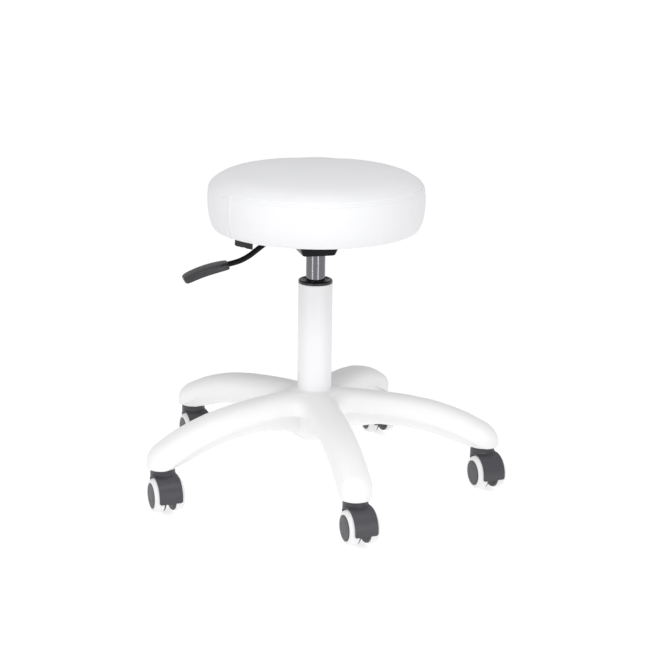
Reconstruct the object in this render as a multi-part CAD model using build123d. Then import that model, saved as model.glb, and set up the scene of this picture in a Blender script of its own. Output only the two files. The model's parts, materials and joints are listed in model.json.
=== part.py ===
from build123d import *
import math
import os

# Rolling stylist stool. Origin: the column's axis where it meets the floor. +Z up,
# the front arm points towards -Y. Millimetres.

# ---------------------------------------------------------------- driving dimensions
CASTER_RADIUS = 250.0        # column axis to each caster's swivel axis
ARM_ANGLES = [-76.64 + 72.0 * i for i in range(5)]
ARM_HALF_WIDTH = 23.0
RIB_HALF_WIDTH = 14.3
TIP_Z = 60.8                 # underside of the arm's end
TIP_RADIAL = 23.0            # the arm ends in a half round about the swivel axis

HUB_R = 33.0
HUB_BOTTOM = 71.5
HUB_TOP = 140.0

TUBE_R = 25.0
TUBE_FOOT_R = 24.0
TUBE_WALL = 1.8
TUBE_BOTTOM = 66.0
TUBE_TOP = 300.2

CYL_R = 14.0
CYL_WALL = 1.6
CYL_BOTTOM = 92.0
CYL_CAVITY_TOP = 338.0
NOSE_START = 344.0
NOSE_TOP = 361.0
NOSE_R = 13.4
RUN = 0.05                   # radial clearance of every running fit
ROD_R = 5.0
TAIL_R = 4.0
PISTON_Z = (252.0, 264.0)

LEVER_TURN = 14.0            # the lever and housing are turned about the column axis
PIVOT_X = -23.5
LEVER_Z = 372.0
LEVER_R = 4.0
PIN_R = 3.0
PIN_TOP = 367.6
PIN_BOTTOM = 346.0

HOUSE_BOTTOM = 344.0
HOUSE_TOP = 381.5
HOUSE_LOW = 48.0             # square size at the housing's bottom
HOUSE_HIGH = 78.0            # square size where it meets the flange
HOUSE_T = 2.5
FLANGE = 126.0
FLANGE_TOP = 384.0

BOARD_R = 147.0
BOARD_T = 12.0
SEAT_BOTTOM = 383.0
SEAT_PROFILE = [(148.2, 385.2), (151.0, 389.0), (153.2, 395.0), (155.1, 403.0),
                (155.9, 415.0), (156.5, 429.0), (155.2, 441.0), (153.7, 449.0),
                (149.1, 455.0), (138.6, 459.5), (112.0, 462.0)]

AXLE_OFFSET = 15.5           # swivel axis to axle axis
WHEEL_R = 25.0
WHEEL_IN = 5.6               # inner face of each wheel from the caster's middle
WHEEL_OUT = 22.0
RIM_R = 18.2
FLANGE_R = 23.6              # the wheel's inner flange, beside its tread
AXLE_R = 3.0
AXLE_HALF = 19.0
HOOD_IN = 25.7
HOOD_OUT = 27.2
HOOD_HALF = 17.0
WEB_HALF = 4.8
NECK_R = 17.75
NECK_TOP = 60.3
CASTER_HEADING = 21.64       # every axle's direction from +X
STEM_R = 5.5
STEM_FOOT_R = 5.0
SOCKET_R = 6.9
SLEEVE_H = 23.4              # a standard 11 by 22 mm grip-ring stem

os.makedirs("parts", exist_ok=True)
NODES = {}


def keep(name, *shapes):
    """Stores one node as a solid, or as a group of separate solids."""
    solids = []
    for s in shapes:
        solids += list(s.solids())
    NODES[name] = solids
    return solids


def ring(r_out, r_in, z0, z1):
    """A plain ring about Z."""
    body = Pos(0, 0, z0) * Cylinder(r_out, z1 - z0, align=(Align.CENTER, Align.CENTER, Align.MIN))
    if r_in:
        body -= Pos(0, 0, z0 - 1) * Cylinder(r_in, z1 - z0 + 2, align=(Align.CENTER, Align.CENTER, Align.MIN))
    return body


def turned(points):
    """A solid of revolution about Z from its (radius, z) outline."""
    face = Plane.XZ * make_face(Polyline(*[(x, z) for x, z in points], close=True))
    return revolve(face, Axis.Z)


def prism_xz(points, half_y):
    """A side outline in X and Z, extruded both ways along Y."""
    face = Plane.XZ * make_face(Polyline(*[(x, z) for x, z in points], close=True))
    return extrude(face, half_y, both=True)


def one(shape):
    return shape.solids().sort_by(SortBy.VOLUME)[-1]


def lerp(table, x):
    for (x0, y0), (x1, y1) in zip(table, table[1:]):
        if x <= x1:
            return y0 + (y1 - y0) * (x - x0) / (x1 - x0)
    return table[-1][1]


# ---------------------------------------------------------------- star base
ARM_TOP = [(20, 139.6), (34, 139.8), (60, 139.9), (97, 137.1), (135, 133.1), (174, 126.1), (203, 117.6),
           (227, 108.3), (249, 97.0), (258, 91.3), (264, 86.3), (268.5, 80.8), (271.5, 74.8), (272.8, 68.5)]
ARM_SKIN = [(20, 104.0), (58, 110.8), (97, 110.3), (135, 106.4), (174, 96.9), (208, 85.5),
            (237, 71.5), (252, 61.2), (272.8, 61.2)]
ARM_RIB = [(20, 74.0), (45, 82.0), (58, 86.4), (97, 91.6), (135, 88.9), (174, 81.1),
           (208, 69.3), (234, TIP_Z), (262, TIP_Z)]


def arch(r, w, zb, zt):
    """One rounded arm section at radius r, as a closed wire facing outwards."""
    h = zt - zb
    c = min(h * 0.75, 19.0) * w / ARM_HALF_WIDTH
    pts = [(-w, zb)]
    for k in range(0, 9):
        t = math.pi - k * math.pi / 8
        y = w * math.copysign(abs(math.cos(t)) ** 0.85, math.cos(t))
        z = zt - c + c * abs(math.sin(t)) ** 0.9
        pts.append((y, z))
    pts.append((w, zb))
    wire = Wire.make_polygon([Vector(r, y, z) for y, z in pts], close=True)
    return Face(wire)


def arm():
    stations = [24, 40, 58, 78, 97, 116, 135, 155, 174, 189, 203, 216, 227, 238, 249, 255, 260, 264, 267, 269.5, 271.5, 272.8]
    sections = []
    for r in stations:
        w = ARM_HALF_WIDTH
        if r > CASTER_RADIUS:
            w = max(5.0, ARM_HALF_WIDTH * math.sqrt(max(0.0, 1 - ((r - CASTER_RADIUS) / (TIP_RADIAL + 0.4)) ** 2)))
        sections.append(arch(r, w, lerp(ARM_SKIN, r), lerp(ARM_TOP, r)))
    cap = loft(sections, ruled=True)
    low = [(r, z) for r, z in ARM_RIB]
    high = [(r, lerp(ARM_SKIN, r) + 4.0) for r in (262, 237, 208, 174, 135, 97, 58, 24)]
    rib = prism_xz([(24, 74.6)] + low[1:] + high, RIB_HALF_WIDTH)
    body = cap + rib
    # the end boss that holds the caster's sleeve
    body += Pos(CASTER_RADIUS, 0, TIP_Z) * Cylinder(19.5, 13.5, align=(Align.CENTER, Align.CENTER, Align.MIN))
    # pockets from below, between cross ribs
    for a, b in ((46, 94), (98, 142), (146, 186), (190, 222)):
        n = 4
        up = [(a + (b - a) * i / n, lerp(ARM_TOP, a + (b - a) * i / n) - 7.0) for i in range(n + 1)]
        body -= prism_xz([(a, 40), (b, 40)] + up[::-1], 11.0)
    return body


hub = turned([(0, HUB_BOTTOM), (HUB_R - 1, HUB_BOTTOM), (HUB_R, HUB_BOTTOM + 1), (HUB_R, 136.0),
              (31.0, HUB_TOP - 1.2), (28.0, HUB_TOP), (0, HUB_TOP)])
base = hub
one_arm = one(arm())
for angle in ARM_ANGLES:
    base += Rot(0, 0, angle) * one_arm
# the tapered bore for the column
bore = turned([(0, 50), (TUBE_FOOT_R - 0.2, 50), (TUBE_FOOT_R, TUBE_BOTTOM), (TUBE_R, HUB_TOP - 0.4), (TUBE_R, 170), (0, 170)])
base -= bore
for angle in ARM_ANGLES:
    spot = Rot(0, 0, angle) * Pos(CASTER_RADIUS, 0, TIP_Z - 1)
    base -= spot * Cylinder(SOCKET_R, SLEEVE_H + 1.3, align=(Align.CENTER, Align.CENTER, Align.MIN))
star = one(base)
keep("star_base", star)

# ---------------------------------------------------------------- sleeves, stems and grip rings in the arm ends
sleeves, stems, rings = [], [], []
sleeve = ring(SOCKET_R, STEM_R + 0.1, TIP_Z, TIP_Z + SLEEVE_H)
stem = turned([(0, 47.2), (STEM_FOOT_R - 0.5, 47.2), (STEM_FOOT_R, 47.7), (STEM_FOOT_R, 59.3), (8.0, 59.3),
               (8.0, TIP_Z - 0.1), (STEM_R, TIP_Z - 0.1), (STEM_R, 73.0), (4.6, 73.0), (4.6, 79.0), (STEM_R, 79.0),
               (STEM_R, 81.6), (STEM_R - 1.4, 83.0), (0, 83.0)])
grip = ring(STEM_R + 0.1, 4.6, 73.6, 78.4) - Pos(5, 0, 76) * Box(4, 1.6, 8)
for angle in ARM_ANGLES:
    at = Rot(0, 0, angle) * Pos(CASTER_RADIUS, 0, 0)
    sleeves.append(at * sleeve)
    stems.append(at * stem)
    rings.append(at * grip)
keep("caster_sleeves", *sleeves)
keep("caster_stems", *stems)
keep("grip_rings", *rings)

# ---------------------------------------------------------------- column
keep("column_tube", turned([
    (TUBE_FOOT_R, TUBE_BOTTOM), (TUBE_R, HUB_TOP - 0.4), (TUBE_R, TUBE_TOP - 0.6), (TUBE_R - 0.6, TUBE_TOP),
    (TUBE_R - TUBE_WALL, TUBE_TOP), (TUBE_R - TUBE_WALL, HUB_TOP - 0.4), (TUBE_FOOT_R - TUBE_WALL, TUBE_BOTTOM)]))
BUSH_R = TUBE_R - TUBE_WALL
keep("guide_bush", turned([
    (CYL_R + RUN, 232.0), (BUSH_R - 1.2, 232.0), (BUSH_R, 233.2), (BUSH_R, TUBE_TOP), (24.9, TUBE_TOP), (24.9, 303.4),
    (23.9, 304.6), (22.1, 305.1), (18.9, 303.6), (16.2, 303.6), (15.2, 304.7), (CYL_R + RUN, 304.7)]))
keep("end_plate", ring(TUBE_FOOT_R - TUBE_WALL, 4.3, TUBE_BOTTOM, 69.0))
keep("thrust_washers", ring(11.0, TAIL_R + 0.1, 69.0, 70.5), ring(11.0, TAIL_R + 0.1, 74.5, 75.95))
balls = []
for k in range(8):
    balls.append(Rot(0, 0, 45 * k) * Pos(7.9, 0, 72.5) * Sphere(1.98))
keep("bearing_balls", *balls)
keep("rubber_buffer", turned([(5.3, 76.0), (11.5, 76.0), (12.5, 78.5), (11.0, 83.5), (12.5, 88.5), (11.0, 91.4), (5.3, 91.4)]))

# ---------------------------------------------------------------- gas spring
keep("piston_rod", turned([
    (0, 62.5), (TAIL_R - 0.6, 62.5), (TAIL_R, 63.1), (TAIL_R, 63.6), (3.2, 63.6), (3.2, 65.0), (TAIL_R, 65.0),
    (TAIL_R, 76.0), (ROD_R, 76.0), (ROD_R, PISTON_Z[0]), (TAIL_R, PISTON_Z[0]), (TAIL_R, 266.0), (3.4, 266.6), (0, 266.6)]))
keep("retaining_clip", ring(8.0, 3.2, 63.65, 64.95) - Pos(6, 0, 64.3) * Box(8, 3.0, 3))
keep("piston", turned([
    (TAIL_R, PISTON_Z[0]), (11.6, PISTON_Z[0]), (CYL_R - CYL_WALL - RUN, 253.0), (CYL_R - CYL_WALL - RUN, 256.4), (11.3, 256.4),
    (11.3, 259.6), (CYL_R - CYL_WALL - RUN, 259.6), (CYL_R - CYL_WALL - RUN, 263.0), (11.6, PISTON_Z[1]), (TAIL_R, PISTON_Z[1])]))
keep("gas_cylinder", turned([
    (CYL_R - CYL_WALL, CYL_BOTTOM), (CYL_R - 0.5, CYL_BOTTOM), (CYL_R, CYL_BOTTOM + 1.0), (CYL_R, NOSE_START), (NOSE_R, NOSE_TOP),
    (PIN_R + RUN, NOSE_TOP), (PIN_R + RUN, 344.0), (PIN_R + 1.4, 344.0), (PIN_R + 1.4, CYL_CAVITY_TOP), (CYL_R - CYL_WALL, CYL_CAVITY_TOP)]))
keep("end_gland", ring(CYL_R - CYL_WALL, ROD_R + RUN, CYL_BOTTOM + 0.2, 112.0))
keep("release_pin", turned([
    (0, PIN_BOTTOM - 1.5), (PIN_R - 0.6, PIN_BOTTOM - 1.5), (PIN_R, PIN_BOTTOM - 0.9), (PIN_R, PIN_TOP - 0.8), (PIN_R - 1.2, PIN_TOP), (0, PIN_TOP)]))

# ---------------------------------------------------------------- seat mechanism, in the lever's own frame
turn = Rot(0, 0, LEVER_TURN)


def rounded_square(size, r, z):
    return Plane.XY.offset(z) * RectangleRounded(size, size, r)


slope = (HOUSE_HIGH - HOUSE_LOW) / (HOUSE_TOP - HOUSE_BOTTOM)
outer = loft([rounded_square(HOUSE_LOW, 6, HOUSE_BOTTOM), rounded_square(HOUSE_HIGH, 14, HOUSE_TOP)], ruled=True)
flange = extrude(rounded_square(FLANGE, 14, HOUSE_TOP), FLANGE_TOP - HOUSE_TOP)
inner_low = HOUSE_LOW + slope * HOUSE_T - 2 * HOUSE_T
inner_high = HOUSE_LOW + slope * (FLANGE_TOP + 1 - HOUSE_BOTTOM) - 2 * HOUSE_T
inner = loft([rounded_square(inner_low, 4, HOUSE_BOTTOM + HOUSE_T), rounded_square(inner_high, 12, FLANGE_TOP + 1)], ruled=True)
housing = outer + flange - inner
housing -= ring(17.0, 0, HOUSE_BOTTOM - 1, HOUSE_BOTTOM + 5)
housing -= Pos(-50, 0, 376.5) * Box(46, 12.0, 18.0)          # slot and notch the lever works in
bolt_spots = [(sx * 49.0, sy * 49.0) for sx in (-1, 1) for sy in (-1, 1)]
for x, y in bolt_spots:
    housing -= Pos(x, y, 383) * Cylinder(3.2, 12)
keep("mechanism_housing", turn * one(housing))

socket_shape = turned([(CYL_R, HOUSE_BOTTOM), (17.0, HOUSE_BOTTOM), (17.0, NOSE_TOP), (NOSE_R, NOSE_TOP)])
keep("taper_socket", turn * socket_shape)

bracket = Pos(-7.2, 0, 362.0) * Box(39.0, 22.0, 2.0)
bracket -= Pos(0, 0, 362.0) * Cylinder(7.5, 6)
for s in (-1, 1):
    bracket += Pos(-23.2, s * 5.7, 369.5) * Box(7.6, 2.4, 17.0)
bracket -= Pos(PIVOT_X, 0, LEVER_Z) * Rot(90, 0, 0) * Cylinder(2.0, 40)
keep("lever_bracket", turn * one(bracket))
keep("lever_pivot", turn * (Pos(PIVOT_X, 0, LEVER_Z) * Rot(90, 0, 0) * Cylinder(2.0, 16.0)))

# ---------------------------------------------------------------- lever
ROD_PATH = [(5.0, LEVER_Z), (-60.4, LEVER_Z), (-106.3, 337.7), (-150.0, 328.6)]
line = FilletPolyline(*[(x, 0, z) for x, z in ROD_PATH], radius=[25.0, 70.0])
rod = sweep(Plane(line @ 0, z_dir=line % 0) * Circle(LEVER_R), line)
rod -= Pos(PIVOT_X, 0, LEVER_Z) * Rot(90, 0, 0) * Cylinder(2.0 + RUN, 20.0)
keep("lever_rod", turn * one(rod))

HANDLE = [(-129.5, 332.2, 10.4, 24.0), (-138.0, 330.9, 11.4, 28.0), (-149.0, 328.6, 11.9, 30.0), (-160.0, 325.9, 12.1, 30.5),
          (-171.0, 322.5, 12.0, 30.5), (-182.0, 318.2, 11.8, 30.0), (-189.0, 315.0, 11.2, 28.0), (-193.5, 312.8, 9.6, 23.0)]
hs = []
for i, (x, z, th, w) in enumerate(HANDLE):
    a = HANDLE[max(0, i - 1)]
    b = HANDLE[min(len(HANDLE) - 1, i + 1)]
    d = Vector(b[0] - a[0], 0, b[1] - a[1]).normalized()
    pl = Plane(origin=(x, 0, z), x_dir=(0, 1, 0), z_dir=d)
    hs.append(pl * RectangleRounded(w, th, 3.0))
handle = loft(hs, ruled=True)
handle -= sweep(Plane(line @ 0, z_dir=line % 0) * Circle(LEVER_R), line)
keep("lever_handle", turn * one(handle))

# ---------------------------------------------------------------- seat
board = ring(BOARD_R, 0, FLANGE_TOP, FLANGE_TOP + BOARD_T)
tnuts, bolts = [], []
for x, y in bolt_spots:
    board -= Pos(x, y, 390) * Cylinder(4.5, 14)
    board -= Pos(x, y, FLANGE_TOP + BOARD_T - 1.5) * Cylinder(9.0, 3, align=(Align.CENTER, Align.CENTER, Align.MIN))
    nut = turned([(3.0, 386.0), (4.5, 386.0), (4.5, 394.5), (9.0, 394.5), (9.0, 396.0), (3.0, 396.0)])
    tnuts.append(Pos(x, y, 0) * nut)
    bolt = turned([(0, 377.5), (4.9, 377.5), (5.5, 378.1), (5.5, HOUSE_TOP), (3.0, HOUSE_TOP), (3.0, 393.0), (2.4, 393.6), (0, 393.6)])
    bolt -= extrude(Plane.XY.offset(377.0) * RegularPolygon(2.5, 6), 3.0)
    bolts.append(Pos(x, y, 0) * bolt)
keep("seat_board", turn * one(board))
keep("t_nuts", *[turn * n for n in tnuts])
keep("seat_bolts", *[turn * b for b in bolts])
keep("seat_cushion", turned([(0, 396.0), (BOARD_R, 396.0), (BOARD_R, 384.0), (139.0, 384.0), (139.0, SEAT_BOTTOM), (146.2, SEAT_BOTTOM)]
                            + SEAT_PROFILE + [(0, 462.0)]))
cover = ring(138.6, 0, 383.2, 384.0) - turn * (Pos(0, 0, 383.5) * Box(130, 130, 4))
keep("dust_cover", cover)
staples = []
for k in range(28):
    staples.append(Rot(0, 0, 360 / 28 * k + 3) * Pos(143.0, 0, 382.7) * Box(1.2, 11.0, 0.6))
keep("staples", *staples)
TAG_FROM, TAG_TO = 219.6, 233.4  # a plain label that follows the cushion's lower edge
tag_pts = [(145.6 * math.cos(math.radians(TAG_FROM + (TAG_TO - TAG_FROM) * i / 12)), 145.6 * math.sin(math.radians(TAG_FROM + (TAG_TO - TAG_FROM) * i / 12))) for i in range(13)]
tag_pts += [(146.5 * math.cos(math.radians(TAG_TO - (TAG_TO - TAG_FROM) * i / 12)), 146.5 * math.sin(math.radians(TAG_TO - (TAG_TO - TAG_FROM) * i / 12))) for i in range(13)]
keep("seat_tag", extrude(Plane.XY.offset(374.6) * make_face(Polyline(*tag_pts, close=True)), 8.4))

# ---------------------------------------------------------------- casters
def pie(r, a0, a1, half_y):
    """A pie slice about the axle in the caster's own frame: +X is the way the hood faces."""
    pts = [(AXLE_OFFSET, WHEEL_R)]
    n = 24
    for i in range(n + 1):
        t = math.radians(a0 + (a1 - a0) * i / n)
        pts.append((AXLE_OFFSET + r * math.cos(t), WHEEL_R + r * math.sin(t)))
    return prism_xz(pts, half_y)


def axle_cylinder(r, y0, y1):
    return Pos(AXLE_OFFSET, (y0 + y1) / 2, WHEEL_R) * Rot(90, 0, 0) * Cylinder(r, y1 - y0)


hood = axle_cylinder(HOOD_OUT, -HOOD_HALF, HOOD_HALF) & pie(60, -13.5, 140, HOOD_HALF + 5)
neck = ring(NECK_R, 0, 38.0, NECK_TOP)
neck = neck & (Pos(-30, 0, 30) * Box(140, 80, 80))
hood = hood + neck
for s in (-1, 1):
    y0, y1 = (WEB_HALF, 40.0) if s > 0 else (-40.0, -WEB_HALF)
    hood -= axle_cylinder(HOOD_IN, y0, y1)
web = (axle_cylinder(HOOD_OUT - 0.6, -WEB_HALF, WEB_HALF) & pie(60, -10, 185, 30)) + axle_cylinder(9.0, -WEB_HALF, WEB_HALF)
hood += web
hood -= axle_cylinder(AXLE_R, -20, 20)
hood -= ring(STEM_FOOT_R + RUN, 0, 47.0, 70.0)
hood -= ring(8.3, 0, 59.2, 70.0)
hood = one(hood)

core_pts = [(AXLE_R + RUN, WHEEL_IN), (FLANGE_R - 1, WHEEL_IN), (FLANGE_R, WHEEL_IN + 1), (FLANGE_R, 8.4), (RIM_R, 8.4),
            (RIM_R, WHEEL_OUT - 0.3), (16.0, 22.3), (8.0, 22.6), (0, 22.7), (0, AXLE_HALF + 0.3), (AXLE_R + RUN, AXLE_HALF + 0.3)]
tread_pts = [(RIM_R, 8.4), (FLANGE_R, 8.4), (24.5, 9.2), (WHEEL_R, 11.6), (WHEEL_R, 14.6),
             (24.5, 17.2), (23.4, 19.4), (21.8, 21.0), (20.0, WHEEL_OUT), (RIM_R, WHEEL_OUT)]


def on_axle(points, side):
    """Turned about the axle: side +1 is the +Y wheel, -1 the other."""
    body = turned(points)                       # about Z, height = distance from the caster's middle
    return Pos(AXLE_OFFSET, 0, WHEEL_R) * Rot(-90 * side, 0, 0) * body


for name, angle in zip("abcde", ARM_ANGLES):
    at = Rot(0, 0, angle) * Pos(CASTER_RADIUS, 0, 0) * Rot(0, 0, -angle + CASTER_HEADING - 90)
    keep(f"caster_hood_{name}", at * hood)
    keep(f"caster_axle_{name}", at * axle_cylinder(AXLE_R, -AXLE_HALF, AXLE_HALF))
    for side, word in ((1, "right"), (-1, "left")):
        keep(f"wheel_{word}_{name}", at * on_axle(core_pts, side))
        keep(f"tread_{word}_{name}", at * on_axle(tread_pts, side))

# ---------------------------------------------------------------- write
for name, solids in NODES.items():
    shape = solids[0] if len(solids) == 1 else Compound(children=[Solid(s.wrapped) for s in solids])
    shape.label = name
    export_step(shape, f"parts/{name}.step")
print(len(NODES), "nodes")
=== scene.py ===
import bpy, bmesh, math, json
import numpy as np
from mathutils import Vector, Matrix
from mathutils.bvhtree import BVHTree


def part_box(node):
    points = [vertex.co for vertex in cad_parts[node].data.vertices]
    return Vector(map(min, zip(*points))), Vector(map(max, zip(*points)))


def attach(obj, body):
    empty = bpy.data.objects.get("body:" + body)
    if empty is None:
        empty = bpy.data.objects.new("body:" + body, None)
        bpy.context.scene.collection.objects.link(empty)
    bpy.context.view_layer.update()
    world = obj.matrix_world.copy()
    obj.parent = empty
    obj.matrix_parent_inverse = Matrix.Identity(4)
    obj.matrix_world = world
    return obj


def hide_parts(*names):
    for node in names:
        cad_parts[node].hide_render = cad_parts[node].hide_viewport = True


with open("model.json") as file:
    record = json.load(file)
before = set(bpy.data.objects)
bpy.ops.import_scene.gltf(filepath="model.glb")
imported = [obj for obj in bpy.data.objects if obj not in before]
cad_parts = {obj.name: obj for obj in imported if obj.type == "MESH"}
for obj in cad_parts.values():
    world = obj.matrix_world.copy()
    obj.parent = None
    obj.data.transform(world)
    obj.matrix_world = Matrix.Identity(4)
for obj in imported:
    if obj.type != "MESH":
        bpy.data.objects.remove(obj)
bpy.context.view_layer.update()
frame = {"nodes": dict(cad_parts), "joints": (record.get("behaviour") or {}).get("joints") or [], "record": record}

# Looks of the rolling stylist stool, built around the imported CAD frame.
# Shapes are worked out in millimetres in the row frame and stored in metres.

NODES = frame["nodes"]
JOINTS = {j["name"]: j for j in frame["joints"]}
MM = 0.001


def mm_box(node):
    lo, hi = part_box(node)
    return np.array(lo) * 1000.0, np.array(hi) * 1000.0


# =====================================================================================
# mesh helpers
# =====================================================================================
def make_object(name, verts_mm, faces, sharp=35.0):
    me = bpy.data.meshes.new(name)
    me.from_pydata((np.asarray(verts_mm, float) * MM).tolist(), [], faces if isinstance(faces, list) else faces.tolist())
    me.validate()
    me.polygons.foreach_set("use_smooth", np.ones(len(me.polygons), bool))
    if sharp:
        me.set_sharp_from_angle(angle=math.radians(sharp))
    me.update()
    ob = bpy.data.objects.new(name, me)
    bpy.context.scene.collection.objects.link(ob)
    return ob


def merge_parts(parts):
    """Several (verts, faces) lists as one."""
    vs, fs, n = [], [], 0
    for v, f in parts:
        vs.append(np.asarray(v, float))
        fs += [tuple(int(i) + n for i in q) for q in f]
        n += len(v)
    return np.vstack(vs), fs


def fillet(points, arc=5):
    """A closed or open outline of (x, y, radius) with its corners rounded."""
    out = []
    n = len(points)
    for i, p in enumerate(points):
        r = p[2] if len(p) > 2 else 0.0
        if r <= 0 or i in (0, n - 1):
            out.append((p[0], p[1]))
            continue
        a, b, c = np.array(points[i - 1][:2]), np.array(p[:2]), np.array(points[i + 1][:2])
        u, v = (a - b), (c - b)
        lu, lv = np.linalg.norm(u), np.linalg.norm(v)
        u, v = u / lu, v / lv
        ang = math.acos(max(-1, min(1, float(u @ v))))
        if ang > math.pi - 1e-3:
            out.append(tuple(b))
            continue
        d = min(r / math.tan(ang / 2), 0.48 * lu, 0.48 * lv)
        rr = d * math.tan(ang / 2)
        mid = (u + v) / np.linalg.norm(u + v)
        centre = b + mid * (rr / math.sin(ang / 2))
        s, e = b + u * d - centre, b + v * d - centre
        a0, a1 = math.atan2(s[1], s[0]), math.atan2(e[1], e[0])
        da = (a1 - a0 + math.pi) % (2 * math.pi) - math.pi
        for k in range(arc + 1):
            t = a0 + da * k / arc
            out.append((centre[0] + rr * math.cos(t), centre[1] + rr * math.sin(t)))
    return out


def lathe(profile, seg=128, closed=True, phase=0.0):
    """Turns an outline of (radius, z) about Z. Points on the axis become poles. closed joins the last point to the first."""
    verts, rows = [], []
    for r, z in profile:
        if r < 1e-6:
            rows.append([len(verts)])
            verts.append((0.0, 0.0, z))
        else:
            rows.append(list(range(len(verts), len(verts) + seg)))
            for k in range(seg):
                t = phase + 2 * math.pi * k / seg
                verts.append((r * math.cos(t), r * math.sin(t), z))
    faces = []
    pairs = list(zip(rows, rows[1:]))
    if closed and not (len(rows[0]) == 1 and len(rows[-1]) == 1):
        pairs.append((rows[-1], rows[0]))
    for a, b in pairs:
        if len(a) == 1 and len(b) == 1:
            continue
        for k in range(seg):
            k2 = (k + 1) % seg
            if len(a) == 1:
                faces.append((a[0], b[k2], b[k]))
            elif len(b) == 1:
                faces.append((a[k], a[k2], b[0]))
            else:
                faces.append((a[k], a[k2], b[k2], b[k]))
    return np.array(verts, float), faces


def outward(ob):
    bm = bmesh.new()
    bm.from_mesh(ob.data)
    bmesh.ops.recalc_face_normals(bm, faces=bm.faces)
    bm.to_mesh(ob.data)
    bm.free()
    return ob


def smin(a, b, k):
    h = np.maximum(k - np.abs(a - b), 0.0) / k
    return np.minimum(a, b) - h * h * k * 0.25


def smax(a, b, k):
    return -smin(-a, -b, k)


def rounded(d1, d2, r):
    """The corner where two faces meet, rounded to radius r (both are distances, negative inside)."""
    return np.minimum(np.maximum(d1, d2), -r) + np.hypot(np.maximum(d1 + r, 0), np.maximum(d2 + r, 0))


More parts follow.
